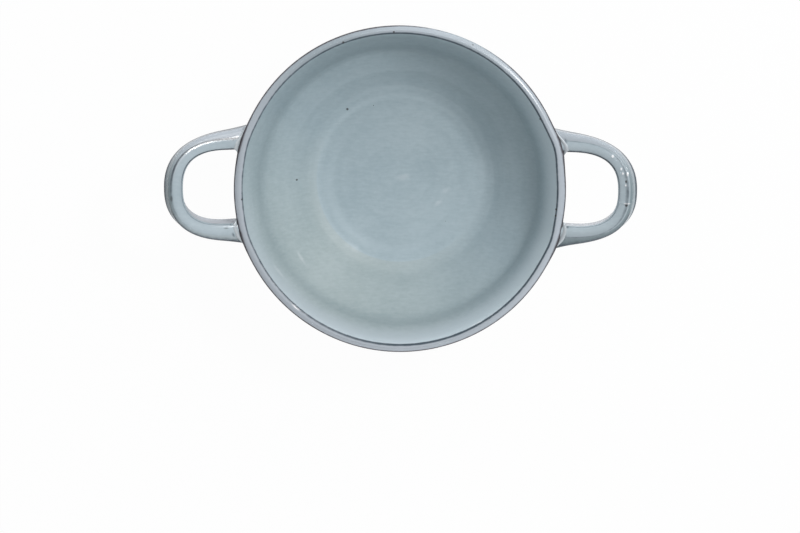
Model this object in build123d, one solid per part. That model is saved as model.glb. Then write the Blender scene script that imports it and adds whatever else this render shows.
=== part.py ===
"""Lug soup bowl in glazed stoneware.

A thrown bowl stands on a foot ring and carries two loop handles. Each clay piece
is luted to the body with slip, and every slip joint is a solid of its own.
Millimetres. +Z is up, the handles lie along X, and the origin is the centre of
the foot on the table.
"""

from build123d import *
from math import cos, radians, sin, sqrt, tan
import os

# Bowl body; each diameter is taken at a corner of the outline before it is rounded
RIM_DIAMETER = 156.0
BOWL_HEIGHT = 55.0
WALL = 4.2
FLOOR_THICKNESS = 4.2
SHOULDER_DIAMETER = 137.5
SHOULDER_HEIGHT = 30.5
SHOULDER_ROUND = 11.0
KNUCKLE_DIAMETER = 95.6
KNUCKLE_HEIGHT = 9.2
KNUCKLE_ROUND = 6.0
WELL_ROUND = 8.0
RIM_ROUND = 1.2

# Foot ring
FOOT_DIAMETER = 71.2
FOOT_HEIGHT = 6.0
FOOT_WIDTH = 5.4
FOOT_TAPER = 1.2
FOOT_ROUND = 0.8
FOOT_LEDGE = 0.9

# Handles
HANDLE_REACH = 31.6
HANDLE_WIDTH = 50.2
HANDLE_THICKNESS = 7.9
HANDLE_BEND_LENGTH = 29.0
HANDLE_BEND_POWER = 2.1
HANDLE_FLARE = 4.5
HANDLE_FLARE_LENGTH = 30.0
HANDLE_TIP_TOP = 14.6
HANDLE_TIP_BOTTOM = 4.6
HANDLE_ROOT_DROP = 7.4
HANDLE_ROOT_SAG = 3.6
HANDLE_TOP_SLOPE = 19.0
HANDLE_BOTTOM_SLOPE = 24.0
HANDLE_EDGE_ROUND = 2.8

# Slip that lutes the pieces together
SLIP_THICKNESS = 1.6
SLIP_BEAD = 1.3
FOOT_SLIP_THICKNESS = 0.5
FOOT_SLIP_SETBACK = 0.5

# Largest share of a wall that a rounded edge may take
ROUND_SHARE = 0.45
# Steps from section to section along a handle's leg and round its bend
LEG_STEPS = 3
BEND_STEPS = 16

RIM_RADIUS = RIM_DIAMETER / 2
SHOULDER_RADIUS = SHOULDER_DIAMETER / 2
KNUCKLE_RADIUS = KNUCKLE_DIAMETER / 2
FOOT_RADIUS = FOOT_DIAMETER / 2
FLOOR_HEIGHT = FOOT_HEIGHT + FLOOR_THICKNESS
HANDLE_TIP = RIM_RADIUS + HANDLE_REACH
HANDLE_BEND_START = HANDLE_TIP - HANDLE_BEND_LENGTH
HANDLE_HALF_WIDTH = HANDLE_WIDTH / 2
# The legs start inside the wall at their full flare, and the wall's own shape trims them
LEG_START = sqrt(SHOULDER_RADIUS**2 - (HANDLE_HALF_WIDTH + HANDLE_FLARE) ** 2) - WALL


def crossing(a, b, c, d):
    """Where the line through a and b meets the line through c and d."""
    along, other = b - a, d - c
    turn = along.X * other.Y - along.Y * other.X
    share = ((c - a).X * other.Y - (c - a).Y * other.X) / turn
    return a + along * share


def moved_in(a, b, depth):
    """The line from a to b, moved to its left by depth."""
    along = (b - a).normalized()
    side = Vector(-along.Y, along.X) * depth
    return a + side, b + side


def wall_corners(depth, mouth_height):
    """Corners of the bowl's outline moved into the wall by depth: foot, knuckle, shoulder, mouth."""
    outline = [
        Vector(FOOT_RADIUS + FOOT_LEDGE, FOOT_HEIGHT),
        Vector(KNUCKLE_RADIUS, KNUCKLE_HEIGHT),
        Vector(SHOULDER_RADIUS, SHOULDER_HEIGHT),
        Vector(RIM_RADIUS, BOWL_HEIGHT),
    ]
    base = Vector(0, FOOT_HEIGHT + depth), Vector(1, FOOT_HEIGHT + depth)
    mouth = Vector(0, mouth_height), Vector(1, mouth_height)
    sides = [moved_in(a, b, depth) for a, b in zip(outline, outline[1:])]
    lines = [base, *sides, mouth]
    return [crossing(*a, *b) for a, b in zip(lines, lines[1:])]


def section(corners, rounds):
    """A face in the XZ plane through the corners, some of them rounded."""
    face = make_face(Polyline(*corners, close=True))
    for corner, radius in rounds:
        vertex = face.vertices().sort_by_distance(corner)[0]
        face = fillet(vertex, radius)
    return Plane.XZ * face


def bowl_filled(depth):
    """The bowl's outer shape moved into its wall by depth and carried up past its rim, with no hollow."""
    foot, knuckle, shoulder, top = wall_corners(depth, BOWL_HEIGHT + HANDLE_THICKNESS)
    corners = [Vector(0, foot.Y), foot, knuckle, shoulder, top, Vector(0, top.Y)]
    rounds = [(knuckle, KNUCKLE_ROUND - depth), (shoulder, SHOULDER_ROUND - depth)]
    return revolve(section(corners, rounds), Axis.Z)


def bowl_body():
    """Floor, knuckle, shoulder and rim, thrown in one piece of clay."""
    foot, knuckle, shoulder, rim = wall_corners(0, BOWL_HEIGHT)
    inner_knuckle, inner_shoulder, inner_rim = wall_corners(WALL, BOWL_HEIGHT)[1:]
    floor_line = Vector(0, FLOOR_HEIGHT), Vector(1, FLOOR_HEIGHT)
    well = crossing(*floor_line, inner_knuckle, inner_shoulder)
    corners = [Vector(0, FOOT_HEIGHT), foot, knuckle, shoulder, rim]
    corners += [inner_rim, inner_shoulder, well, Vector(0, FLOOR_HEIGHT)]
    rim_round = min(RIM_ROUND, ROUND_SHARE * WALL)
    rounds = [
        (knuckle, KNUCKLE_ROUND),
        (shoulder, SHOULDER_ROUND),
        (rim, rim_round),
        (inner_rim, rim_round),
        (inner_shoulder, SHOULDER_ROUND - WALL),
        (well, WELL_ROUND),
    ]
    return revolve(section(corners, rounds), Axis.Z)


def foot_ring():
    """The ring that the bowl stands on, a little narrower at the table."""
    top = FOOT_HEIGHT - FOOT_SLIP_THICKNESS
    inside = FOOT_RADIUS - FOOT_WIDTH
    outer_base = Vector(FOOT_RADIUS - FOOT_TAPER, 0)
    inner_base = Vector(inside, 0)
    corners = [inner_base, outer_base, Vector(FOOT_RADIUS, top), Vector(inside, top)]
    base_round = min(FOOT_ROUND, ROUND_SHARE * (FOOT_WIDTH - FOOT_TAPER))
    rounds = [(outer_base, base_round), (inner_base, base_round)]
    return revolve(section(corners, rounds), Axis.Z)


def foot_slip():
    """The film of slip between the foot ring and the underside of the bowl."""
    inside = FOOT_RADIUS - FOOT_WIDTH + FOOT_SLIP_SETBACK
    outside = FOOT_RADIUS - FOOT_SLIP_SETBACK
    film = Pos(0, 0, FOOT_HEIGHT - FOOT_SLIP_THICKNESS) * Cylinder(
        outside, FOOT_SLIP_THICKNESS, align=(Align.CENTER, Align.CENTER, Align.MIN)
    )
    return film - Cylinder(inside, 4 * FOOT_HEIGHT)


def strap_middle(turn):
    """A point midway through a strap in plan, and the way out from it, at a turn from its tip."""
    reach = HANDLE_BEND_LENGTH - HANDLE_THICKNESS / 2
    half_width = (HANDLE_WIDTH - HANDLE_THICKNESS) / 2
    along = cos(radians(turn))
    across = sin(radians(abs(turn)))
    side = 1 if turn >= 0 else -1
    power = 2 / HANDLE_BEND_POWER
    point = Vector(HANDLE_BEND_START + reach * along**power, side * half_width * across**power)
    outward = Vector(along ** (2 - power) / reach, side * across ** (2 - power) / half_width)
    return point, outward.normalized()


def strap_edge(start_height, tip_height, slope, x):
    """The height of a strap's upper or lower edge, which curves up from the wall to the tip."""
    run = x - LEG_START
    span = HANDLE_TIP - LEG_START
    climb = tan(radians(slope))
    bow = (tip_height - start_height - span * climb) / span**2
    return start_height + run * climb + run**2 * bow


def strap_section(point, outward, grown):
    """The strap cut square to its length, wider towards the wall, grown on every side, its edges rounded."""
    half = HANDLE_THICKNESS / 2 + grown
    flare = HANDLE_FLARE * max(0, 1 - (point.X - LEG_START) / HANDLE_FLARE_LENGTH) ** 2
    corners = []
    for across, upper in ((-half, False), (half + flare, False), (half + flare, True), (-half, True)):
        x = (point + outward * across).X
        if upper:
            start, tip = BOWL_HEIGHT - HANDLE_ROOT_DROP, BOWL_HEIGHT + HANDLE_TIP_TOP
            height = strap_edge(start, tip, HANDLE_TOP_SLOPE, x) + grown
        else:
            start, tip = SHOULDER_HEIGHT - HANDLE_ROOT_SAG, BOWL_HEIGHT + HANDLE_TIP_BOTTOM
            height = strap_edge(start, tip, HANDLE_BOTTOM_SLOPE, x) - grown
        corners.append((across, height))
    edge_round = min(HANDLE_EDGE_ROUND + grown / 2, ROUND_SHARE * 2 * half)
    outline = FilletPolyline(*corners, radius=edge_round, close=True)
    plane = Plane((point.X, point.Y, 0), x_dir=outward, z_dir=(outward.Y, -outward.X, 0))
    return plane * make_face(outline)


def handle(wall_with_slip):
    """The right-hand strap handle, its two ends cut to the curve of the wall and its slip."""
    turns = [180 * step / BEND_STEPS - 90 for step in range(BEND_STEPS + 1)]
    bend = [strap_middle(turn) for turn in turns]
    leg_length = HANDLE_BEND_START - LEG_START
    leg = [LEG_START + leg_length * step / LEG_STEPS for step in range(LEG_STEPS)]
    front = [(Vector(x, bend[0][0].Y), bend[0][1]) for x in leg]
    rear = [(Vector(x, bend[-1][0].Y), bend[-1][1]) for x in reversed(leg)]
    path = [*front, *bend, *rear]
    strap = loft([strap_section(point, outward, 0) for point, outward in path])
    return strap - wall_with_slip


def rear_handle_slip(wall, wall_with_slip):
    """The bead of slip under the rear end of the right-hand handle, proud of the strap all round."""
    root, outward = strap_middle(90)
    leg_end = RIM_RADIUS + HANDLE_THICKNESS
    places = [Vector(x, root.Y) for x in (LEG_START, (LEG_START + leg_end) / 2, leg_end)]
    leg = loft([strap_section(point, outward, SLIP_BEAD) for point in places])
    return (leg & wall_with_slip) - wall


def main():
    wall = bowl_filled(0)
    wall_with_slip = bowl_filled(-SLIP_THICKNESS)
    right_handle = handle(wall_with_slip)
    rear_slip = rear_handle_slip(wall, wall_with_slip)
    front_slip = mirror(rear_slip, Plane.XZ)
    half_turn = Rot(0, 0, 180)
    pieces = {
        "bowl_body": bowl_body(),
        "foot_ring": foot_ring(),
        "foot_slip_joint": foot_slip(),
        "right_handle": right_handle,
        "right_handle_front_slip_joint": front_slip,
        "right_handle_rear_slip_joint": rear_slip,
        "left_handle": half_turn * right_handle,
        "left_handle_rear_slip_joint": half_turn * front_slip,
        "left_handle_front_slip_joint": half_turn * rear_slip,
    }
    os.makedirs("parts", exist_ok=True)
    for name, piece in pieces.items():
        export_step(piece, f"parts/{name}.step")


main()
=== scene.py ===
import bisect
import math

import bmesh
import bpy
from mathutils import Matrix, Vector


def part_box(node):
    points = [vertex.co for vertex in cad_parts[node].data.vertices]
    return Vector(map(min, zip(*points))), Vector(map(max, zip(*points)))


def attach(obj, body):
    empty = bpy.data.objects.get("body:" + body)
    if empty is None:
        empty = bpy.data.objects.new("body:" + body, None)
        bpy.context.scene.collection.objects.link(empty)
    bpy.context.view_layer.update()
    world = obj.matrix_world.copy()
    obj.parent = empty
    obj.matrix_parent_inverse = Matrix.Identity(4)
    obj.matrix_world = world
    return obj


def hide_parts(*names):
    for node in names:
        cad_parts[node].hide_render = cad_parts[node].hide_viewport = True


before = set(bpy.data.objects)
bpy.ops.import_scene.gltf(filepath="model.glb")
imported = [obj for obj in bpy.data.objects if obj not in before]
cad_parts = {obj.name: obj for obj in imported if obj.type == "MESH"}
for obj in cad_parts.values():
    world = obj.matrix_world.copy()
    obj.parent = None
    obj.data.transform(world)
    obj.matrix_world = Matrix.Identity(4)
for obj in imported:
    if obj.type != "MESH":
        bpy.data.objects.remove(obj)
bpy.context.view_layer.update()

# Bowl body.
# Thrown on the wheel from one lump of stoneware: a flat floor, a soft corner to a slanting lower wall,
# a shoulder, and a flared upper wall with a flat-topped rim. It is dipped in a grey-blue glaze that
# stays thick inside and runs thin and dark over both arrises of the rim.
MM = 0.001
bowl_low, bowl_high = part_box("bowl_body")
rim_radius = bowl_high.x
bowl_height = bowl_high.z
base_height = bowl_low.z
rim_width = 3.95 * MM
rim_fall = 1.5 * MM
rim_lip = 0.68 * MM
rim_crest = rim_radius - 2.2 * MM
floor_height = base_height + 4.2 * MM
floor_dish = 0.3 * MM
outer_arris = (rim_radius + 0.35 * MM, bowl_height - rim_fall)
inner_arris = (rim_radius - rim_width, bowl_height - rim_lip)
# Corners of the section from the middle of the base, up the outside and down the inside: radius, height, round.
bowl_outline = [
    (0.0, base_height, 0.0),
    (36.5 * MM, base_height, 0.0),
    (47.8 * MM, 9.2 * MM, 6.0 * MM),
    (68.75 * MM, 30.5 * MM, 11.0 * MM),
    (*outer_arris, 0.9 * MM),
    (rim_crest, bowl_height, 3.2 * MM),
    (*inner_arris, 0.7 * MM),
    (65.1 * MM, 32.8 * MM, 14.0 * MM),
    (42.7 * MM, floor_height, 15.0 * MM),
    (0.0, floor_height - floor_dish, 0.0),
]
profile_step = 1.2 * MM
fewest_in_arc = 8
finer_in_arc = 0.5


def rounded_path(corners, longest):
    """Points along straight runs with rounded corners, closer together round each corner."""
    arcs = []
    for i, (x, y, radius) in enumerate(corners):
        here = Vector((x, y))
        if radius == 0.0:
            arcs.append([here])
            continue
        back = (Vector(corners[i - 1][:2]) - here).normalized()
        ahead = (Vector(corners[i + 1][:2]) - here).normalized()
        half = back.angle(ahead) / 2
        centre = here + (back + ahead).normalized() * radius / math.sin(half)
        start = here + back * radius / math.tan(half) - centre
        end = here + ahead * radius / math.tan(half) - centre
        steps = max(fewest_in_arc, math.ceil((math.pi - 2 * half) * radius / (finer_in_arc * longest)))
        arcs.append([centre + radius * start.slerp(end, step / steps) for step in range(steps + 1)])
    points = []
    for arc, following in zip(arcs, [*arcs[1:], [arcs[-1][-1]]]):
        points += arc
        gap = following[0] - arc[-1]
        pieces = math.ceil(gap.length / longest)
        points += [arc[-1] + gap * step / pieces for step in range(1, pieces)]
    return points


def nearest(points, place):
    """The number of the point that is nearest to a place."""
    return min(range(len(points)), key=lambda i: (points[i] - Vector(place)).length)


profile = rounded_path(bowl_outline, profile_step)
outer_mark = nearest(profile, outer_arris)
inner_mark = nearest(profile, inner_arris)
wall_heights = [point.y for point in profile[: outer_mark + 1]]
# Past this point, below the round of the rim, the wall is carried on straight.
straight_to = outer_mark - 6
least_climb = 0.01 * MM
# The wheel leaves the wall a little out of round, most of all at the rim: lobes, size and lead.
sway = ((0, -0.44 * MM, 0.0), (1, 0.55 * MM, 1.15), (2, 0.47 * MM, 0.23), (5, 0.06 * MM, 2.1))
# Pressing a handle on pulls the rim out where its two legs are fixed: angle in degrees and size.
leg_pulls = ((14.5, 1.1 * MM), (-19.0, 0.75 * MM), (163.5, 0.4 * MM), (196.5, 0.4 * MM))
leg_pull_width = 6.0
rim_dip = 0.12 * MM
rim_dip_lead = 0.6
rim_narrower = 0.40 * MM
# Powers of the height that keep the pulls, the narrower front and rear, and the dip to the rim.
pull_power = 4
narrow_power = 6
dip_power = 8
around = 288


def bell(far, width):
    """1 at no distance, falling away to each side."""
    return math.exp(-((far / width) ** 2))


def turn_from(angle, heading):
    """How far an angle is from a heading in degrees, the shorter way round."""
    return math.remainder(math.degrees(angle) - heading, 360)


def near_leg(angle, leg):
    """1 at a leg of a handle, falling away to each side."""
    return bell(turn_from(angle, leg), leg_pull_width)


def out_of_round(height, angle):
    """How far the wall stands out from a true circle."""
    lift = height / bowl_height
    swayed = sum(size * math.cos(lobes * angle + lead) for lobes, size, lead in sway)
    pulled = sum(size * near_leg(angle, leg) for leg, size in leg_pulls)
    return lift * swayed + lift**pull_power * pulled


def wall_radius(height, angle):
    """The outer wall's radius, carried on past the rim."""
    i = min(max(bisect.bisect(wall_heights, height), 1), straight_to)
    low, high = profile[i - 1], profile[i]
    share = (height - low.y) / max(high.y - low.y, least_climb)
    return low.x + (high.x - low.x) * share + out_of_round(height, angle)


def thrown_ring(radius, height, ripple=0.0, lead=0.0, narrower=0.0):
    """A ring of points on the wheel's work, with the spiral ripple of the thrower's fingers."""
    ring = []
    for k in range(around):
        angle = math.tau * k / around
        wide = radius + radius / rim_radius * out_of_round(height, angle)
        wide += narrower * abs(math.sin(angle)) * (height / bowl_height) ** narrow_power
        dip = rim_dip * math.sin(2 * angle + rim_dip_lead) * (height / bowl_height) ** dip_power
        rise = dip + ripple * math.sin(angle + lead)
        ring.append((wide * math.cos(angle), wide * math.sin(angle), height + rise))
    return ring


def skin(name, rings, marks, joined=False):
    """A closed surface through rings of points, its ends joined or capped, with marks at its points."""
    count = len(rings[0])
    points = [point for ring in rings for point in ring]
    faces = []
    for row in range(len(rings) if joined else len(rings) - 1):
        a, b = row * count, (row + 1) % len(rings) * count
        for i in range(count):
            j = (i + 1) % count
            faces.append((a + i, a + j, b + j, b + i))
    if not joined:
        for row in (0, len(rings) - 1):
            points.append(sum((Vector(point) for point in rings[row]), Vector()) / count)
            for i in range(count):
                faces.append((len(points) - 1, row * count + i, row * count + (i + 1) % count))
    mesh = bpy.data.meshes.new(name)
    mesh.from_pydata(points, [], faces)
    for mark, by_ring in marks.items():
        values = [value for ring in by_ring for value in ring]
        if not joined:
            values += [sum(by_ring[0]) / count, sum(by_ring[-1]) / count]
        mesh.attributes.new(mark, "FLOAT", "POINT").data.foreach_set("value", values)
    shape = bmesh.new()
    shape.from_mesh(mesh)
    bmesh.ops.recalc_face_normals(shape, faces=shape.faces)
    shape.to_mesh(mesh)
    shape.free()
    mesh.polygons.foreach_set("use_smooth", [True] * len(mesh.polygons))
    piece = bpy.data.objects.new(name, mesh)
    bpy.context.scene.collection.objects.link(piece)
    return piece


class Tone:
    """A value in a glaze's node tree. Sums written on it add the nodes that work them out."""

    def __init__(self, tree, socket=None):
        self.tree = tree
        self.socket = socket

    def node(self, kind, settings=None, inputs=None, out=0):
        """Any node: its settings first, then the values or links of its sockets."""
        made = self.tree.nodes.new("ShaderNode" + kind)
        for key, value in (settings or {}).items():
            setattr(made, key, value)
        for key, value in (inputs or {}).items():
            if isinstance(value, Tone):
                self.tree.links.new(value.socket, made.inputs[key])
            else:
                made.inputs[key].default_value = value
        return Tone(self.tree, made.outputs[out])

    def math(self, operation, *values):
        """A sum of numbers."""
        return self.node("Math", {"operation": operation}, dict(enumerate(values)))

    def __add__(self, other):
        return self.math("ADD", self, other)

    def __radd__(self, other):
        return self.math("ADD", other, self)

    def __sub__(self, other):
        return self.math("SUBTRACT", self, other)

    def __rsub__(self, other):
        return self.math("SUBTRACT", other, self)

    def __mul__(self, other):
        return self.math("MULTIPLY", self, other)

    def __rmul__(self, other):
        return self.math("MULTIPLY", other, self)

    def __truediv__(self, other):
        return self.math("DIVIDE", self, other)

    def __rtruediv__(self, other):
        return self.math("DIVIDE", other, self)

    def fade(self, low, high):
        """A smooth step from 0 at low to 1 at high."""
        settings = {"interpolation_type": "SMOOTHSTEP"}
        return self.node("MapRange", settings, {"Value": self, "From Min": low, "From Max": high})

    def blend(self, under, upper):
        """One colour laid over another by this share."""
        return self.node("Mix", {"data_type": "RGBA"}, {0: self, 6: under, 7: upper}, out=2)

    def mark(self, name):
        """A mark that the mesh carries at its points."""
        return self.node("Attribute", {"attribute_name": name}, out="Fac")

    def noise(self, place, scale, detail):
        """A cloudy pattern from 0 to 1."""
        return self.node("TexNoise", {}, {"Vector": place, "Scale": scale, "Detail": detail})


def seen(red, green, blue):
    """A colour as it is seen on a screen, in parts of 255, turned into light."""
    light = []
    for part in (red / 255, green / 255, blue / 255):
        light.append(part / 12.92 if part <= 0.04045 else ((part + 0.055) / 1.055) ** 2.4)
    return (*light, 1.0)


glaze_pale = seen(171, 187, 194)
glaze_deep = seen(152, 170, 178)
glaze_outer_pale = seen(170, 180, 184)
glaze_outer_deep = seen(150, 162, 164)
glaze_milky = seen(208, 211, 219)
glaze_ash_pale = seen(169, 180, 180)
glaze_ash_deep = seen(150, 163, 163)
glaze_lavender = seen(177, 182, 191)
# Painted light blends toward the first of these three colours, painted glints toward the white, and painted
# shade toward the dark one.
painted_light_colour = seen(203, 217, 224)
painted_glint_white = seen(246, 247, 250)
painted_shade_colour = seen(112, 128, 134)
break_brown = seen(62, 50, 53)
break_slate = seen(66, 78, 88)
iron_brown = seen(48, 44, 44)
# Scales of the patterns in the glaze, in cells to a metre, and the share of each in its depth of colour.
cloud_scale, cloud_share = 42.0, 0.26
ring_scale, ring_share = 260.0, 0.12
ring_drift = (9.0, 7.0)
run_scale, run_fall = 9.0, 6.0
run_middle = 0.01
broad_scale, broad_share = 16.0, 0.18
grain_scale, grain_share = 620.0, 0.12
stroke_share = 0.28
stroke_along, stroke_across = 260.0, 900.0
depth_range = (0.30, 0.66)
ragged_scale = 380.0
milky_scale = 170.0
milky_least, milky_more = 0.6, 0.7
break_least, break_ragged = 0.70, 0.6
break_range = (0.25, 0.80)
spot_ragged = 0.8
spot_core = 0.4
# Cells to a metre that may hold a fine speck, its size in a cell, and the cells that do.
speck_cells = 85.0
speck_core, speck_edge = 0.018, 0.040
speck_chosen = (0.86, 0.88)
speck_most = 0.85
peel_scale, peel_share = 260.0, 0.6
fine_peel_scale, fine_peel_share = 900.0, 0.2
brush_relief = 0.4
mean_relief = 0.6
relief_depth = 0.4 * MM
rim_roughness = 0.26
cloud_roughness = 0.10
break_roughness = 0.12
glaze_index = 1.5


def glaze(name, roughness, outside, relief, specks=(), pale_spots=()):
    """The grey-blue glaze: mottled and brushed, dark where it breaks and milky where it gathers.

    It is as rough as the first value inside and the second one outside. Specks and pale spots, which paint
    glints, are oval spots.
    """
    finish = bpy.data.materials.new(name)
    finish.use_nodes = True
    tree = finish.node_tree
    shader = tree.nodes["Principled BSDF"]
    start = Tone(tree)
    place = start.node("TexCoord", out="Object")
    parts = start.node("SeparateXYZ", inputs={0: place}).socket.node.outputs
    x, y, z = (Tone(tree, part) for part in parts)
    radius = start.math("SQRT", x * x + y * y)
    inside = start.mark("inside")

    # Depth of colour: clouds, rings from the wheel, runs down the outside, and strokes across.
    cloud = start.noise(place, cloud_scale, 3.0)
    rings = {0: radius * ring_scale, 1: z * ring_scale, 2: x * ring_drift[0] + y * ring_drift[1]}
    brushed = start.noise(start.node("CombineXYZ", inputs=rings), 1.0, 3.0)
    away = radius + run_middle
    downhill = start.node("CombineXYZ", inputs={0: x / away, 1: y / away, 2: z * run_fall})
    runs = start.noise(downhill, run_scale, 2.0)
    broad = start.noise(place, broad_scale, 2.0)
    finer = stroke_across - stroke_along
    back = y * (stroke_along + finer * inside)
    up = z * (stroke_across - finer * inside)
    level = start.node("CombineXYZ", inputs={0: x * stroke_along, 1: back, 2: up})
    strokes = start.noise(level, 1.0, 3.0)
    grain = start.noise(place, grain_scale, 2.0)
    drift = cloud_share * cloud + ring_share * brushed + broad_share * (runs + inside * (broad - runs))
    depth = (drift + stroke_share * strokes + grain_share * grain).fade(*depth_range)
    pale = inside.blend(glaze_outer_pale, glaze_pale)
    deep = inside.blend(glaze_outer_deep, glaze_deep)
    ash = depth.blend(glaze_ash_deep, glaze_ash_pale)
    mixed = start.mark("ash").blend(depth.blend(deep, pale), ash)

    # Changes of colour over the bowl: painted light and painted shade, pale where the glaze gathers and where a
    # painted sheen lies, painted glints, and dark where it runs thin.
    mixed = start.mark("lavender").blend(mixed, glaze_lavender)
    # Painted light blends toward a pale colour, and painted shade, below 0, toward a dark one.
    painted_shading = start.mark("painted_shading")
    mixed = start.math("MAXIMUM", painted_shading, 0.0).blend(mixed, painted_light_colour)
    mixed = start.math("MAXIMUM", 0.0 - painted_shading, 0.0).blend(mixed, painted_shade_colour)
    ragged = start.noise(place, ragged_scale, 3.0)

    def spotted(most, spots):
        """A mask with oval spots added to it: the middle, reach, turn and strength of each."""
        for middle, reach, turn, strength in spots:
            inputs = {"Vector": place, "Location": middle, "Rotation": (0.0, 0.0, turn), "Scale": reach}
            oval = start.node("Mapping", {"vector_type": "TEXTURE"}, inputs)
            far = start.node("VectorMath", {"operation": "LENGTH"}, {0: oval}, out="Value")
            spot = 1.0 - (far + spot_ragged * (ragged - 0.5)).fade(spot_core * strength, 1.0)
            most = start.math("MAXIMUM", most, strength * spot)
        return most

    # This mark is partly glaze that really gathers, in the coves and beads, and partly a painted sheen and
    # painted glint on the handles.
    gathered_and_sheen = start.mark("gathered_and_sheen") * (milky_least + milky_more * start.noise(place, milky_scale, 2.0))
    mixed = gathered_and_sheen.blend(mixed, glaze_milky)
    # Pale spots are painted glints in white.
    if pale_spots:
        mixed = spotted(0.0, pale_spots).blend(mixed, painted_glint_white)
    broken = (start.mark("thin_and_shade") * (break_least + break_ragged * ragged)).fade(*break_range)
    mixed = broken.blend(mixed, start.mark("warm").blend(break_slate, break_brown))

    dots = start.node("TexVoronoi", inputs={"Vector": place, "Scale": speck_cells})
    cells = start.node("SeparateColor", inputs={0: Tone(tree, dots.socket.node.outputs["Color"])})
    fine_specks = (1.0 - dots.fade(speck_core, speck_edge)) * cells.fade(*speck_chosen)
    mixed = (speck_most * spotted(fine_specks, specks)).blend(mixed, iron_brown)

    # The top of the rim is smooth all over. Elsewhere the glaze has an orange-peel skin.
    dull = 1.0 - start.mark("polished")
    usual = outside + (roughness - outside) * inside
    uneven = cloud_roughness * (cloud - 0.5) + break_roughness * broken
    rough = rim_roughness + dull * (usual - rim_roughness + uneven)
    peel = peel_share * start.noise(place, peel_scale, 2.0)
    fine_peel = fine_peel_share * start.noise(place, fine_peel_scale, 2.0)
    height = dull * (peel + fine_peel + brush_relief * brushed - mean_relief)
    bump = start.node("Bump", inputs={"Strength": relief, "Distance": relief_depth, "Height": height})
    for socket, value in (("Base Color", mixed), ("Roughness", rough), ("Normal", bump)):
        tree.links.new(value.socket, shader.inputs[socket])
    shader.inputs["IOR"].default_value = glaze_index
    return finish


# Throwing ripples inside: how far apart, how deep, and how far from the rim they begin.
throwing_pitch = 4.6 * MM
throwing_depth = 0.025 * MM
unrippled = 3.0 * MM
# The glaze runs thin over the outer arris of the rim, most of all at the handles and least at the rear right.
thin_down_wall = 1.6 * MM
thin_on_rim = 1.0 * MM
thin_most = 0.92
thin_at_leg = 0.8
thin_warmth = 0.7
faint_heading = 67
faint_most = 0.50
faint_power = 16
# It also runs thin over the inner arris, less to the left and a little more in front.
thin_inside = 0.80 * MM
inside_most = 0.85
inside_less_left = 0.20
inside_more_front = 0.04
inside_wider_front = 0.1
# The smooth top of the rim begins this far inside its outer arris, and ends this many points past the inner.
polish_edge = 1.0 * MM
polish_past = 4
# Headings, in degrees.
rear, left, front = 90, 180, 270


def toward(angle, heading):
    """1 where an angle faces a heading, falling to 0 a quarter turn away."""
    return max(0.0, math.cos(angle - math.radians(heading)))


# Inside, the glaze is greyer down the front left of the wall and lavender near the front of the rim.
ash_from = 40.0 * MM
ash_heading = 235
ash_most = 0.75
rim_lavender = 0.7
front_lavender = 0.9
# Painted shade darkens it along the crease under the upper wall, and painted light makes it paler above that,
# but for the rear.
crease_height = 33.0 * MM
crease_lift = 0.12
crease_width = 0.25
crease_shade = 0.24
crease_swing = 0.2
crease_heading = 320
painted_light_heading = 315
painted_light_most = 0.9
top_from = 1 / 3
top_heading = 105
top_shade = 0.10
# A ring of painted light runs round the floor, and painted shade makes the floor darker to the rear.
floor_ring = 40.8 * MM
floor_ring_width = 1.4 * MM
floor_ring_painted_light = 0.16
floor_ring_swing = 0.45
floor_ring_heading = 110
floor_lift = -0.5
floor_shade = 0.12
# Patches of painted light inside: heading, radius, width and strength.
painted_light_patches = (
    (80, 46.0 * MM, 4.0 * MM, 0.28),
    (135, 54.0 * MM, 8.0 * MM, 0.14),
    (225, 35.0 * MM, 3.6 * MM, 0.32),
    (345, 71.5 * MM, 2.6 * MM, 0.42),
    (170, 72.0 * MM, 2.4 * MM, 0.12),
)


def above_crease(place):
    """0 at the crease inside, and 1 at the rim."""
    return (place.y - crease_height) / (bowl_height - crease_height)


def inner_painted_shading(place, angle):
    """How much painted light, or painted shade below 0, lies on the glaze at a place inside the bowl."""
    lift = above_crease(place)
    swing = 1 + crease_swing * math.cos(angle - math.radians(crease_heading))
    painted_shading = -crease_shade * swing * bell(lift - crease_lift, crease_width)
    to_painted_light = 0.5 + 0.5 * math.cos(angle - math.radians(painted_light_heading))
    painted_shading += painted_light_most * to_painted_light * max(0.0, lift) ** 2
    painted_shading -= top_shade * toward(angle, top_heading) * min(max(lift / top_from - 1, 0.0), 1.0)
    swing = 1 - floor_ring_swing + floor_ring_swing * math.cos(angle - math.radians(floor_ring_heading))
    painted_shading += floor_ring_painted_light * swing * bell(place.x - floor_ring, floor_ring_width)
    if lift < floor_lift:
        painted_shading -= floor_shade * toward(angle, rear) * min(place.x / floor_ring, 1.0)
    for heading, radius, width, strength in painted_light_patches:
        painted_shading += strength * toward(angle, heading) ** 2 * bell(place.x - radius, width)
    return painted_shading


# Outside, painted light makes the glaze paler low down and painted shade makes it greyer to the left, and the
# glaze is lavender in a band under the shoulder.
shoulder_height = 30.5 * MM
low_wall_painted_light = 0.35
left_wall_shade = 0.60
band_height = 27.4 * MM
band_width = 1.8 * MM
band_lavender = 0.6


def wall_painted_shading(place, angle):
    """How much painted light, or painted shade below 0, lies on the glaze at a place on the outer wall."""
    low = max(0.0, 1 - place.y / shoulder_height)
    return low_wall_painted_light * low - left_wall_shade * toward(angle, left)


# Places round the top of the rim darkened with painted shade: heading, width in degrees and how much.
rim_shades = ((119, 25, 0.50), (30, 10, 0.12), (62, 22, 0.30), (300, 18, 0.10))


def rim_painted_shade(angle):
    """How much painted shade, below 0, lies on the glaze at an angle round the top of the rim."""
    return -sum(size * bell(turn_from(angle, heading), width) for heading, width, size in rim_shades)


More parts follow.
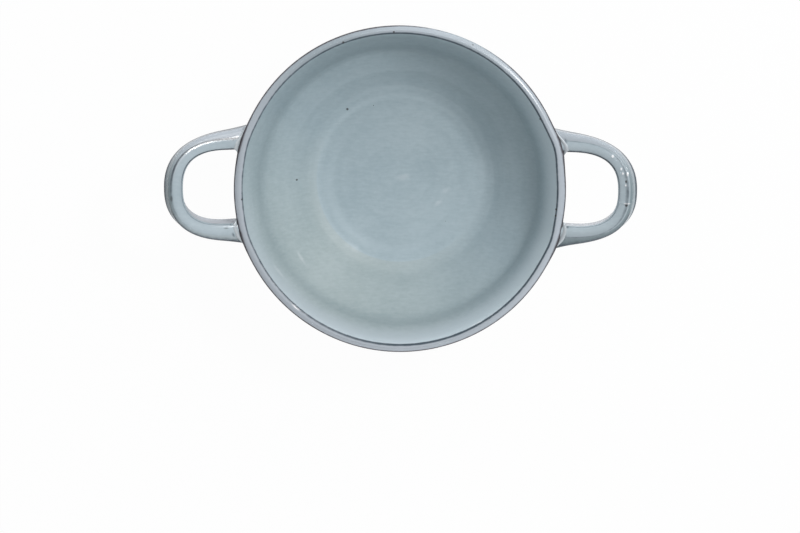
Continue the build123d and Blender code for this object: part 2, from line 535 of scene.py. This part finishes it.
def rim_thin(from_outer, from_inner, outer_width, angle):
    """How thin the glaze runs near the two arrises of the rim."""
    by_leg = max(near_leg(angle, leg) for leg, _ in leg_pulls)
    outer_most = max(by_leg, thin_most - faint_most * toward(angle, faint_heading) ** faint_power)
    outer_thin = outer_most * bell(from_outer, outer_width * (1 + thin_at_leg * by_leg))
    in_front = toward(angle, front)
    inner_most = inside_most - inside_less_left * toward(angle, left) + inside_more_front * in_front
    return max(outer_thin, inner_most * bell(from_inner, thin_inside * (1 + inside_wider_front * in_front)))


body_rings = []
body_marks = {"thin_and_shade": [], "warm": [], "lavender": [], "inside": [], "ash": [], "painted_shading": [], "polished": []}
angles = [math.tau * k / around for k in range(around)]
for i, place in enumerate(profile[1:-1], 1):
    from_outer = (place - profile[outer_mark]).length
    from_inner = (place - profile[inner_mark]).length
    ripple = throwing_depth if i > inner_mark and from_inner > unrippled else 0.0
    narrower = rim_narrower if place.x < rim_crest and i > outer_mark else 0.0
    body_rings.append(thrown_ring(place.x, place.y, ripple, math.tau * from_inner / throwing_pitch, narrower))

    thin_width = thin_down_wall if i < outer_mark else thin_on_rim
    ash = ash_most if i > inner_mark and place.x > ash_from else 0.0
    if i < outer_mark:
        lavender = [band_lavender * bell(place.y - band_height, band_width)] * around
    elif i < inner_mark:
        lavender = [rim_lavender] * around
    else:
        lift = max(0.0, above_crease(place))
        lavender = [front_lavender * lift**2 * toward(angle, front) for angle in angles]
    # Painted light and painted shade: inside, on the rim and on the outer wall.
    if i > inner_mark:
        painted_shading = [inner_painted_shading(place, angle) for angle in angles]
    elif i > outer_mark:
        painted_shading = [rim_painted_shade(angle) for angle in angles]
    else:
        painted_shading = [wall_painted_shading(place, angle) for angle in angles]
    polished = outer_mark < i < inner_mark + polish_past and place.x < outer_arris[0] - polish_edge
    body_marks["thin_and_shade"].append([rim_thin(from_outer, from_inner, thin_width, angle) for angle in angles])
    body_marks["warm"].append([thin_warmth * (from_outer < from_inner)] * around)
    body_marks["lavender"].append(lavender)
    body_marks["inside"].append([float(i >= outer_mark)] * around)
    body_marks["ash"].append([ash * toward(angle, ash_heading) for angle in angles])
    body_marks["painted_shading"].append(painted_shading)
    body_marks["polished"].append([float(polished)] * around)
body = skin("bowl_body_glazed", body_rings, body_marks)
# Iron specks that the glaze drew from the clay: across, back, up and radius, in millimetres.
body_specks = [
    (-25.2, 34.4, 11.4, 0.75),
    (-49.6, 0.6, 17.0, 0.70),
    (-12.6, 36.0, 10.8, 0.35),
    (-2.6, 73.2, 54.8, 0.65),
    (-26.0, 68.4, 54.8, 0.7),
    (-73.6, -4.6, 54.8, 0.75),
    (65.4, 32.9, 54.2, 0.75),
    (73.2, -9.4, 54.8, 0.65),
    (73.0, -12.3, 54.8, 0.6),
]
# Painted glints on the floor, the wall and the rim: across, back, up, half length and half width, in
# millimetres, then heading and strength.
body_glints = [
    (1.6, 1.2, 10.0, 5.0, 2.2, 10, 0.13),
    (22.6, -5.4, 10.0, 3.6, 2.0, 20, 0.10),
    (18.9, -11.4, 10.0, 3.8, 1.8, 40, 0.13),
    (-22.6, -33.0, 10.5, 7.0, 2.4, -34, 0.10),
    (-47.4, -36.0, 26.8, 7.0, 1.0, -57, 0.16),
    (-57.0, -40.2, 45.0, 7.0, 1.0, -50, 0.14),
    (36.0, -63.6, 55.0, 5.0, 0.60, 28, 0.85),
    (44.4, -59.0, 55.0, 5.0, 0.60, 36, 0.95),
    (-48.9, -55.4, 55.0, 3.8, 0.65, -41, 1.00),
]
speck_depth = 3.0 * MM
specks = []
for x, y, z, size in body_specks:
    specks.append((Vector((x, y, z)) * MM, (size * MM, size * MM, speck_depth), 0.0, 1.0))
pale_spots = []
for x, y, z, half_length, half_width, heading, strength in body_glints:
    reach = (half_length * MM, half_width * MM, speck_depth)
    pale_spots.append((Vector((x, y, z)) * MM, reach, math.radians(heading), strength))
# Two specks and a pale spot on the front of the outer wall.
wall_reach = (0.7 * MM, 2.0 * MM, 0.7 * MM)
specks.append((Vector((-9.3, -52.4, 14.7)) * MM, wall_reach, 0.0, 1.0))
specks.append((Vector((10.3, -61.5, 24.0)) * MM, wall_reach, 0.0, 1.0))
pale_spots.append((Vector((22.4, -46.7, 13.3)) * MM, (2.2 * MM, 2.0 * MM, 1.2 * MM), 0.0, 0.4))
bowl_glaze = glaze("bowl_glaze", roughness=0.50, outside=0.16, relief=0.12, specks=specks, pale_spots=pale_spots)
body.data.materials.append(bowl_glaze)
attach(body, "root")
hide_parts("bowl_body")

# Foot ring.
# A ring of the same stoneware under the base, a little narrower at the table. Its sides are glazed,
# and its base is wiped clean so that it won't stick in the kiln, which leaves bare buff clay.
foot_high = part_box("foot_ring")[1]
foot_radius = foot_high.x
foot_inside = foot_radius - 5.4 * MM
foot_taper = 1.2 * MM
foot_round = 0.9 * MM
foot_step = 0.5 * MM
# Painted light makes the glaze on the foot paler.
foot_painted_light = 0.7
wiped_height = 0.9 * MM
wiped_power = 4
wiped_scale = 300.0
wiped_ragged = 0.5
wiped_range = (0.35, 0.6)
clay_buff = seen(200, 164, 126)
clay_sand = seen(172, 134, 98)
clay_scale = 1800.0
clay_roughness = 0.85
foot_outline = [
    (foot_inside, foot_high.z, 0.0),
    (foot_inside, 0.0, foot_round),
    (foot_radius - foot_taper, 0.0, foot_round),
    (foot_radius, foot_high.z, 0.0),
]
foot_path = rounded_path(foot_outline, foot_step)
wiped = [[math.exp(-((point.y / wiped_height) ** wiped_power))] * around for point in foot_path]
foot_rings = [thrown_ring(point.x, point.y) for point in foot_path]
foot_marks = {"wiped": wiped, "painted_shading": [[foot_painted_light] * around for _ in foot_path]}
foot = skin("foot_ring_glazed", foot_rings, foot_marks, joined=True)


def wipe(finish):
    """Lays bare clay over a glaze wherever the mesh is marked as wiped."""
    tree = finish.node_tree
    shader = tree.nodes["Principled BSDF"]
    start = Tone(tree)
    place = start.node("TexCoord", out="Object")
    glazed = Tone(tree, shader.inputs["Base Color"].links[0].from_socket)
    smooth = Tone(tree, shader.inputs["Roughness"].links[0].from_socket)
    edge = start.mark("wiped") + wiped_ragged * (start.noise(place, wiped_scale, 3.0) - 0.5)
    bare = edge.fade(*wiped_range)
    clay = start.noise(place, clay_scale, 2.0).blend(clay_sand, clay_buff)
    tree.links.new(bare.blend(glazed, clay).socket, shader.inputs["Base Color"])
    tree.links.new((smooth + bare * (clay_roughness - smooth)).socket, shader.inputs["Roughness"])


foot_glaze = glaze("foot_glaze", roughness=0.18, outside=0.18, relief=0.12)
wipe(foot_glaze)
foot.data.materials.append(foot_glaze)
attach(foot, "root")
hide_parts("foot_ring")

# Foot slip.
# The film of slip that lutes the foot ring to the base, squeezed out to a small cove on each side,
# where the glaze gathers.
cove = 0.8 * MM
hollow_out = 0.15 * cove
hollow_down = 0.3 * cove
cove_gathered = 0.5
cove_path = [
    (foot_inside - cove, base_height),
    (foot_inside - hollow_out, base_height - hollow_down),
    (foot_inside, base_height - cove),
    (foot_radius, base_height - cove),
    (foot_radius + hollow_out, base_height - hollow_down),
    (foot_radius + cove, base_height),
]
cove_rings = [thrown_ring(radius, height) for radius, height in cove_path]
cove_marks = {"gathered_and_sheen": [[cove_gathered] * around for _ in cove_path]}
foot_slip = skin("foot_slip_cove", cove_rings, cove_marks, joined=True)
foot_slip.data.materials.append(glaze("foot_slip_glaze", roughness=0.18, outside=0.18, relief=0.12))
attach(foot_slip, "root")
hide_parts("foot_slip_joint")

# Handles.
# Each is a strap of clay bent to a loop in plan, which rises outwards from the wall. Its top is a little
# crowned, with a soft outer arris and a crisp inner one, and the glaze breaks dark along both.
handle_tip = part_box("right_handle")[1].x
handle_thickness = 7.2 * MM
handle_width = 49.0 * MM
half_width = (handle_width - handle_thickness) / 2
bend_start = handle_tip - 29.0 * MM
leg_start = 57.85 * MM
flare_length = 40.0 * MM
inner_lean = 1.2 * MM
outer_lean = 2.0 * MM
tip_thicker = 1.7 * MM
# Height at the start of a leg, height at the tip, and slope at the start, in degrees.
lower_edge = (26.05 * MM, bowl_height + 4.6 * MM, 24.0)
upper_edge = (46.95 * MM, bowl_height + 14.6 * MM, 19.0)
top_crown = 0.28 * MM
arc_steps = 9
flat_steps = 7
nominal_height = 11.0 * MM
# Side, share of the height, round, first angle and sweep of each corner of the section.
strap_corners = (
    (-1, 0.0, 2.0 * MM, 180, 90),
    (1, 0.0, 2.6 * MM, 270, 90),
    (1, 1.0, 3.4 * MM, 0, 74),
    (-1, 1.0, 1.5 * MM, 101, 79),
)
# Made by hand and dipped by hand, so the two differ. Lists of three go from the front by the tip to the rear.
# facing, shift: the way it points, in radians, and how far it is fixed to the rear of the middle.
# bend_length, bend_power: the length of its bend, and how square that is.
# ridge, ridge_in: how dark the line along its outer arris is, and how far inside that it runs at the tip.
# top_painted_shading, shoulder_painted_shading, outer_painted_shading: painted light on its glaze, or painted
# shade below 0, on top and down the outside.
# low_break_and_shade, inner_dark: how far up the dark lower edge, a glaze break with painted shade, reaches,
# and how dark its inside is at the rear.
# warm, painted_glint: how brown the dark lines and how pale the painted glint, a streak on top, are at the
# rear.
# ends: the side that each is on before the handle is turned, how far it flares against the wall and leans,
# and its name as seen from the front of the bowl.
handles = {
    "right_handle": {
        "facing": 0.0,
        "shift": 0.15 * MM,
        "bend_length": 29.4 * MM,
        "bend_power": 2.42,
        "ridge": (0.55, 0.62, 0.50),
        "ridge_in": 1.3 * MM,
        "top_painted_shading": (0.26, 0.22, 0.20),
        "shoulder_painted_shading": (-0.75, -0.85, -0.30),
        "outer_painted_shading": (0.25, -0.35, -0.30),
        "low_break_and_shade": 1.5 * MM,
        "warm": 0.0,
        "painted_glint": 0.35,
        "inner_dark": 0.9,
        "ends": [
            {"side": 1, "flare": 6.8 * MM, "lean": 0.0, "name": "rear"},
            {"side": -1, "flare": 10.8 * MM, "lean": -0.4 * MM, "name": "front"},
        ],
    },
    "left_handle": {
        "facing": math.pi,
        "shift": -1.25 * MM,
        "bend_length": 28.5 * MM,
        "bend_power": 2.42,
        "ridge": (0.35, 0.62, 0.85),
        "ridge_in": 0.0,
        "top_painted_shading": (0.20, -0.02, 0.00),
        "shoulder_painted_shading": (-0.15, -0.85, -0.20),
        "outer_painted_shading": (-0.85, -0.60, -0.35),
        "low_break_and_shade": 1.0 * MM,
        "warm": 0.35,
        "painted_glint": 1.0,
        "inner_dark": 0.5,
        "ends": [
            {"side": 1, "flare": 7.0 * MM, "lean": 0.55 * MM, "name": "front"},
            {"side": -1, "flare": 7.6 * MM, "lean": 0.0, "name": "rear"},
        ],
    },
}


def strap_section():
    """Once round the strap's section: step across from its middle, share of its height, and step up."""
    arcs = []
    for side, share, radius, first, sweep in strap_corners:
        middle = (side * (handle_thickness / 2 - radius), radius - 2 * radius * share)
        arc = []
        for step in range(arc_steps + 1):
            angle = math.radians(first + sweep * step / arc_steps)
            across = middle[0] + radius * math.cos(angle)
            arc.append(Vector((across, share, middle[1] + radius * math.sin(angle))))
        arcs.append(arc)
    loop = []
    for arc, following in zip(arcs, [*arcs[1:], arcs[0]]):
        loop += arc
        crown = top_crown if arc[-1].y == following[0].y == 1.0 else 0.0
        for step in range(1, flat_steps):
            share = step / flat_steps
            rise = Vector((0.0, 0.0, 4 * share * (1 - share) * crown))
            loop.append(arc[-1].lerp(following[0], share) + rise)
    return loop


def strap_edge(edge, x):
    """The height of the strap's upper or lower edge, which curves up from the wall to the tip."""
    start, tip, slope = edge
    run = x - leg_start
    span = handle_tip - leg_start
    climb = math.tan(math.radians(slope))
    return start + run * climb + run**2 * (tip - start - span * climb) / span**2


def strap_middle(handle, turn):
    """A point midway through the strap in plan, and the way out from it, at a turn from its tip."""
    reach = handle["bend_length"] - handle_thickness / 2
    along = max(math.cos(turn), 0.0)
    across = math.sin(abs(turn))
    side = math.copysign(1.0, turn)
    power = 2 / handle["bend_power"]
    point = Vector((bend_start + reach * along**power, side * half_width * across**power))
    outward = Vector((along ** (2 - power) / reach, side * across ** (2 - power) / half_width))
    return point, outward.normalized()


def on_strap(handle, end, point, outward, step):
    """A place on the strap's surface, from its middle in plan and a step of its section."""
    across, share, up = step
    at_tip = outward.x**2
    if across > 0:
        spread = max(0.0, 1 - (point.x - leg_start) / flare_length) ** 2
        wider = end["flare"] * spread
    else:
        wider = at_tip * (tip_thicker - inner_lean * (1 - share)) + (1 - at_tip) * end["lean"] * (1 - share)
    leaning = outer_lean * at_tip * share * (0.5 + across / handle_thickness)
    place = point + outward * (across * (1 + 2 * wider / handle_thickness) - leaning)
    low = strap_edge(lower_edge, place.x)
    high = strap_edge(upper_edge, place.x)
    return Vector((place.x, place.y + handle["shift"], low + (high - low) * share + up))


def on_leg(handle, end, x, step):
    """A place on the straight leg at one end of a handle."""
    outward = Vector((0.0, end["side"]))
    return on_strap(handle, end, Vector((x, 0.0)) + half_width * outward, outward, step)


search_end = rim_radius + 12 * MM
halvings = 40


def meets_wall(handle, end, step):
    """How far out a line along the leg leaves the bowl's wall."""
    inner, outer = leg_start, search_end
    for _ in range(halvings):
        middle = (inner + outer) / 2
        place = on_leg(handle, end, middle, step)
        angle = math.atan2(place.y, place.x) + handle["facing"]
        if math.hypot(place.x, place.y) > wall_radius(place.z, angle):
            outer = middle
        else:
            inner = middle
    return outer


def turned(place, facing):
    """A place on the right-hand side carried round the bowl's axis."""
    across = place.x * math.cos(facing) - place.y * math.sin(facing)
    back = place.x * math.sin(facing) + place.y * math.cos(facing)
    return (across, back, place.z)


section = strap_section()
stride = arc_steps + flat_steps
leg_rows = 26
bend_rows = 150
sunk_end = 1.0 * MM


def strap_rings(handle):
    """Rings of the section from one end round the bend to the other, each with the way out from it."""
    legs = []
    for end in handle["ends"]:
        roots = [meets_wall(handle, end, step) - sunk_end for step in section]
        rows = []
        for row in range(leg_rows):
            places = [root + (bend_start - root) * row / leg_rows for root in roots]
            ring = [on_leg(handle, end, x, step) for x, step in zip(places, section)]
            rows.append((ring, Vector((0.0, end["side"]))))
        legs.append(rows)
    bend = []
    for row in range(bend_rows + 1):
        point, outward = strap_middle(handle, math.radians(90 - 180 * row / bend_rows))
        end = handle["ends"][0 if 2 * row < bend_rows else 1]
        bend.append(([on_strap(handle, end, point, outward, step) for step in section], outward))
    return [*legs[0], *bend, *reversed(legs[1])]


flat_section = [Vector((across, share * nominal_height + up)) for across, share, up in section]
ridge = flat_section[2 * stride + arc_steps]
inner_lip = flat_section[3 * stride + arc_steps // 2]
low_edge = flat_section[stride + arc_steps]
high_edge = flat_section[2 * stride]
low_inner_edge = flat_section[arc_steps // 2]
inner_side = flat_section[3 * stride + arc_steps]
painted_glint_line = ridge - Vector((1.0 * MM, 0.0))
# How thin the glaze runs along these lines, and how far to each side.
ridge_width = 0.55 * MM
ridge_width_at_tip = 1.3 * MM
arris_width = 0.50 * MM
inner_lip_thin = 0.52
inner_lip_thin_rear = 0.33
low_edge_thin = 1.05
low_edge_less_front = 0.5
low_edge_width = 1.2 * MM
high_edge_width = 0.6 * MM
high_edge_width_above = 3.2 * MM
inner_side_width = 1.9 * MM
low_inner_thin = 0.50
usual_warmth = 0.10
# A smudge crosses each leg where a finger held it.
smudge_from_rim = 3.2 * MM
smudge_width = 0.9 * MM
smudge_on_arris = 1.2 * MM
smudge_thin = 0.62
# A painted glint as a pale streak on top, a painted sheen that makes the inner face milky, and painted shade
# beside the lines.
painted_glint_width = 0.40 * MM
painted_glint_power = 8
inner_painted_sheen = 0.9
ridge_shade = 0.25
ridge_shade_width = 1.4 * MM
lip_shade = 0.20
lip_shade_width = 1.2 * MM
# The outside takes the colours of the bowl's outer wall, and more lavender to the rear.
top_inside = 0.9
outer_inside = 0.3
top_lavender = 0.25
outer_lavender = 0.20
outer_lavender_rear = 0.60


def near(place, spot, width):
    """1 at a spot of the section, falling away to each side."""
    return bell((place - spot).length, width)


def strap_marks(handle, rings):
    """The marks of the glaze at each step of the section of each ring."""
    marks = {"thin_and_shade": [], "warm": [], "gathered_and_sheen": [], "lavender": [], "painted_shading": [], "inside": []}
    for ring, outward in rings:
        for mark in marks.values():
            mark.append([])
        to_rear = max(outward.y * math.cos(handle["facing"]), 0.0)
        to_front = max(-outward.y * math.cos(handle["facing"]), 0.0)
        by_place = (handle["ridge"], handle["top_painted_shading"], handle["shoulder_painted_shading"], handle["outer_painted_shading"])
        dark, top_painted_shading, shoulder_painted_shading, outer_painted_shading = (
            at_tip + (at_rear - at_tip) * to_rear + (at_front - at_tip) * to_front
            for at_front, at_tip, at_rear in by_place
        )
        width = ridge_width + (ridge_width_at_tip - ridge_width) * outward.x**4
        line = ridge - Vector((handle["ridge_in"] * outward.x**2, 0.0))
        # Painted shade widens the dark glaze break of the lower edge, except at the front.
        low_width = low_edge_width + (1 - to_front) * handle["low_break_and_shade"]
        lip_thin = inner_lip_thin + inner_lip_thin_rear * to_rear
        painted_glint = handle["painted_glint"] * to_rear * (1 - to_rear**painted_glint_power)
        for i, (place, spot) in enumerate(zip(flat_section, ring)):
            on_outside = stride + arc_steps < i < 2 * stride + arc_steps
            on_shoulder = i >= 2 * stride
            high_width = high_edge_width_above if on_shoulder else high_edge_width
            smudge = bell(math.hypot(spot.x, spot.y) - rim_radius - smudge_from_rim, smudge_width)
            smudge *= max(near(place, ridge, smudge_on_arris), near(place, inner_lip, smudge_on_arris))
            thin_and_shade = max(
                dark * near(place, line, width),
                lip_thin * near(place, inner_lip, arris_width),
                (low_edge_thin - low_edge_less_front * to_front) * near(place, low_edge, low_width),
                min(2 * to_front, 1.0) * near(place, high_edge, high_width),
                handle["inner_dark"] * to_rear * near(place, inner_side, inner_side_width),
                low_inner_thin * near(place, low_inner_edge, arris_width),
                smudge_thin * smudge,
            )
            # Painted light and painted shade on top, on the outer arris and down the outside.
            if on_outside:
                lavender = outer_lavender + outer_lavender_rear * to_rear
                painted_shading = shoulder_painted_shading if on_shoulder else outer_painted_shading
            else:
                lavender = top_lavender
                painted_shading = top_painted_shading - ridge_shade * near(place, line, ridge_shade_width)
                painted_shading -= lip_shade * near(place, inner_lip, lip_shade_width)
            on_inner_face = i > 3 * stride + arc_steps
            gathered_and_sheen = max(painted_glint * near(place, painted_glint_line, painted_glint_width), inner_painted_sheen * on_inner_face)
            marks["thin_and_shade"][-1].append(thin_and_shade)
            marks["warm"][-1].append(usual_warmth + handle["warm"] * to_rear)
            marks["gathered_and_sheen"][-1].append(gathered_and_sheen)
            marks["lavender"][-1].append(lavender)
            marks["painted_shading"][-1].append(painted_shading)
            marks["inside"][-1].append(outer_inside if on_outside else top_inside)
    return marks


# Lumps and pin marks along the top of the right-hand handle: across, back, size across, size along and height,
# in millimetres. A painted glint whitens each lump, and a speck of iron shows in a pit.
right_lumps = [
    (98.4, 16.4, 0.8, 0.9, 0.30),
    (102.2, 10.8, 0.6, 0.9, 0.30),
    (103.0, 8.7, 0.5, 0.8, 0.25),
    (104.9, 8.5, 0.7, 1.3, 0.30),
    (104.4, 5.0, 0.5, 0.8, -0.15),
    (104.3, 3.3, 0.5, 0.7, 0.25),
    (104.9, -5.1, 2.0, 0.45, 0.40),
    (104.7, -6.1, 0.8, 0.7, -0.40),
]
lump_depth = 1.5 * MM
# Specks on the front of the left-hand handle, before it is turned: across and up, in millimetres.
front_from = 10 * MM
front_first = 0.2
left_speck = 0.42 * MM
left_specks = [
    (101.3, 56.3),
    (97.1, 55.3),
    (95.7, 52.1),
    (93.4, 49.7),
    (91.1, 47.9),
    (88.7, 52.5),
    (83.1, 46.0),
    (79.9, 41.3),
]
# Dark smudges on top of it, before it is turned: across, back, and size each way, in millimetres.
left_smudge_strength = 0.6
left_smudges = [
    (78.6, 15.4, 1.6, 0.9),
    (80.9, 18.0, 1.8, 0.6),
    (78.0, 24.2, 1.2, 0.9),
    (105.2, 2.9, 0.8, 1.6),
]
for name, handle in handles.items():
    rings = strap_rings(handle)
    places = [place for ring, _ in rings for place in ring]
    specks, pale_spots = [], []
    if name == "right_handle":
        for across, back, size_across, size_along, rise in right_lumps:
            for place in places:
                far = Vector(((place.x - across * MM) / size_across, (place.y - back * MM) / size_along)) / MM
                if place.z > strap_edge(upper_edge, place.x) - lump_depth:
                    place.z += rise * MM * math.exp(-far.length_squared)
            middle = (across * MM, back * MM, strap_edge(upper_edge, across * MM))
            spot = (middle, (size_across * MM, size_along * MM, lump_depth), 0.0, 1.0)
            (pale_spots if rise > 0 else specks).append(spot)
    else:
        face = [place for place in places if place.y > front_from]
        for across, up in left_specks:
            wanted = Vector((across * MM, up * MM))
            spot = min(face, key=lambda place: (place.xz - wanted).length - front_first * place.y)
            specks.append((turned(spot, handle["facing"]), (left_speck,) * 3, 0.0, 1.0))
        for across, back, size_across, size_along in left_smudges:
            spot = Vector((across * MM, back * MM, strap_edge(upper_edge, across * MM)))
            reach = (size_across * MM, size_along * MM, 2 * lump_depth)
            specks.append((turned(spot, handle["facing"]), reach, 0.0, left_smudge_strength))
    placed = [[turned(place, handle["facing"]) for place in ring] for ring, _ in rings]
    strap = skin(name + "_strap", placed, strap_marks(handle, rings))
    finish = glaze(name + "_glaze", roughness=0.14, outside=0.14, relief=0.04, specks=specks, pale_spots=pale_spots)
    strap.data.materials.append(finish)
    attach(strap, "root")
    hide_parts(name)

# Slip beads.
# The slip that lutes each end of a handle to the wall, smoothed with a finger to a collar all round the
# strap. Glaze gathers in it, pale and milky.
bead_on_strap = 1.9 * MM
bead_on_wall = 1.9 * MM
bead_height = 0.9 * MM
bead_sunk = 0.12 * MM
bead_below_rim = 1.6 * MM
bead_bulge_at = 0.45
bead_rows = 9
# Waves round a bead: how many, and their share of its size.
bead_lumps = ((4, 0.12), (9, 0.06))
# How far the glaze gathers in the middle of a bead, and where across it that begins and ends.
bead_gathered = 0.4
gathered_from, gathered_to = 0.15, 0.85


def bead_rings(handle, end):
    """Rings of a collar from the strap to the wall round one end of a handle."""
    rings = [[] for _ in range(bead_rows + 1)]
    side, facing = end["side"], handle["facing"]
    for i, step in enumerate(section):
        turn = math.tau * i / len(section)
        lump = 1.0 + sum(size * math.sin(count * turn + 2 * side + facing) for count, size in bead_lumps)
        before, after = flat_section[i - 1], flat_section[(i + 1) % len(section)]
        along = (after - before).normalized()
        outward = Vector((0.0, side * along.y, -along.x))
        corner_x = meets_wall(handle, end, step)
        corner = on_leg(handle, end, corner_x, step)
        strap_end = on_leg(handle, end, corner_x + lump * bead_on_strap, step) - outward * bead_sunk
        reach = corner + outward * bead_on_wall * lump
        height = min(reach.z, bowl_height - bead_below_rim)
        wall = wall_radius(height, math.atan2(reach.y, reach.x) + facing) - bead_sunk
        wall_end = Vector((math.sqrt(wall**2 - reach.y**2), reach.y, height))
        bulge = corner.lerp(strap_end, bead_bulge_at) + outward * lump * bead_height
        for row in range(bead_rows + 1):
            t = row / bead_rows
            place = (1 - t) ** 2 * strap_end + 2 * t * (1 - t) * bulge + t**2 * wall_end
            rings[row].append(turned(place, facing))
    return rings


bead_marks = {"gathered_and_sheen": []}
for row in range(bead_rows + 1):
    across = gathered_from + (gathered_to - gathered_from) * row / bead_rows
    bead_marks["gathered_and_sheen"].append([bead_gathered * math.sin(math.pi * across)] * len(section))
for handle_name, handle in handles.items():
    for end in handle["ends"]:
        name = f"{handle_name}_{end['name']}_slip"
        bead = skin(name + "_bead", bead_rings(handle, end), bead_marks)
        bead.data.materials.append(glaze(name + "_glaze", roughness=0.16, outside=0.16, relief=0.12))
        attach(bead, "root")
        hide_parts(name + "_joint")

# Table, light and camera.
# A wide white table in an even white surround, with the main lamp at the rear right. The camera looks
# down from a little behind the bowl, with the handles level in the picture.
table_size = 6.0
table_top = -0.05 * MM
table_paper = (0.72, 0.73, 0.75, 1.0)
table_glow = 0.97
surround_strength = 0.50
white_in_reflections = 0.10
white = (1.0, 1.0, 1.0, 1.0)
half = table_size / 2
corners = [(-half, -half), (half, -half), (half, half), (-half, half)]
mesh = bpy.data.meshes.new("table")
mesh.from_pydata([(*corner, table_top) for corner in corners], [], [(0, 1, 2, 3)])
table = bpy.data.objects.new("table", mesh)
bpy.context.scene.collection.objects.link(table)


def shown_white(start):
    """1 where the camera sees the white straight or through glass, a share in reflections, or else 0."""
    path = start.node("LightPath").socket.node.outputs
    kinds = ("Camera", "Transmission", "Glossy")
    camera, glassy, glossy = (Tone(start.tree, path[f"Is {kind} Ray"]) for kind in kinds)
    return start.math("MAXIMUM", start.math("MAXIMUM", camera, glassy), white_in_reflections * glossy)


table_white = bpy.data.materials.new("table_white")
table_white.use_nodes = True
tree = table_white.node_tree
start = Tone(tree)
paper = start.node("BsdfDiffuse", inputs={"Color": table_paper})
glow = start.node("Emission", inputs={"Color": white, "Strength": 1.0})
cover = start.node("MixShader", inputs={0: table_glow * shown_white(start), 1: paper, 2: glow})
tree.links.new(cover.socket, tree.nodes["Material Output"].inputs["Surface"])
table.data.materials.append(table_white)

surround = bpy.data.worlds.new("surround")
surround.use_nodes = True
bpy.context.scene.world = surround
start = Tone(surround.node_tree)
strength = surround_strength + (1.0 - surround_strength) * shown_white(start)
background = surround.node_tree.nodes["Background"]
background.inputs["Color"].default_value = white
surround.node_tree.links.new(strength.socket, background.inputs["Strength"])

lamp_aim = Vector((0.0, 0.0, 0.03))
# Place, width, height and power of each: the main lamp, a softer one behind it, a small one that glints on
# the handles, and two low strips that light the outside of the wall and show in no reflection.
lamps = {
    "lamp": (Vector((0.59, 0.42, 0.99)), 0.26, 0.26, 6.3),
    "soft_lamp": (Vector((0.45, 0.85, 0.65)), 0.70, 0.70, 3.0),
    "rear_lamp": (Vector((-0.36, 0.33, 1.23)), 0.08, 0.08, 0.4),
    "front_strip": (Vector((0.25, -1.0, 0.05)), 0.90, 0.08, 5.0),
    "rear_strip": (Vector((-0.25, 1.0, 0.05)), 0.90, 0.08, 4.0),
}
for name, (place, width, height, power) in lamps.items():
    lamp = bpy.data.lights.new(name, "AREA")
    lamp.shape = "ELLIPSE"
    lamp.size = width
    lamp.size_y = height
    lamp.energy = power
    stand = bpy.data.objects.new(name, lamp)
    stand.location = place
    stand.rotation_euler = (lamp_aim - place).to_track_quat("-Z", "Y").to_euler()
    stand.visible_glossy = "strip" not in name
    bpy.context.scene.collection.objects.link(stand)

picture_width = 800
rim_across = 332
rim_above_centre = 76.8
rim_left_of_centre = 0.5
camera_tilt = math.radians(6.3)
lens = 100.0
sensor = 36.0
farthest = 20.0
metres_a_pixel = 2 * rim_radius / rim_across
distance = lens / sensor * picture_width * metres_a_pixel
rim_lift = math.atan(rim_above_centre * metres_a_pixel / distance)
camera = bpy.data.cameras.new("camera")
camera.lens = lens
camera.sensor_width = sensor
camera.clip_end = farthest
camera_stand = bpy.data.objects.new("camera", camera)
camera_stand.location = (
    rim_left_of_centre * metres_a_pixel,
    distance * math.sin(camera_tilt),
    bowl_height + distance * math.cos(camera_tilt),
)
camera_stand.rotation_euler = (-camera_tilt - rim_lift, 0.0, 0.0)
bpy.context.scene.collection.objects.link(camera_stand)
bpy.context.scene.camera = camera_stand
bpy.context.scene.view_settings.view_transform = "Standard"
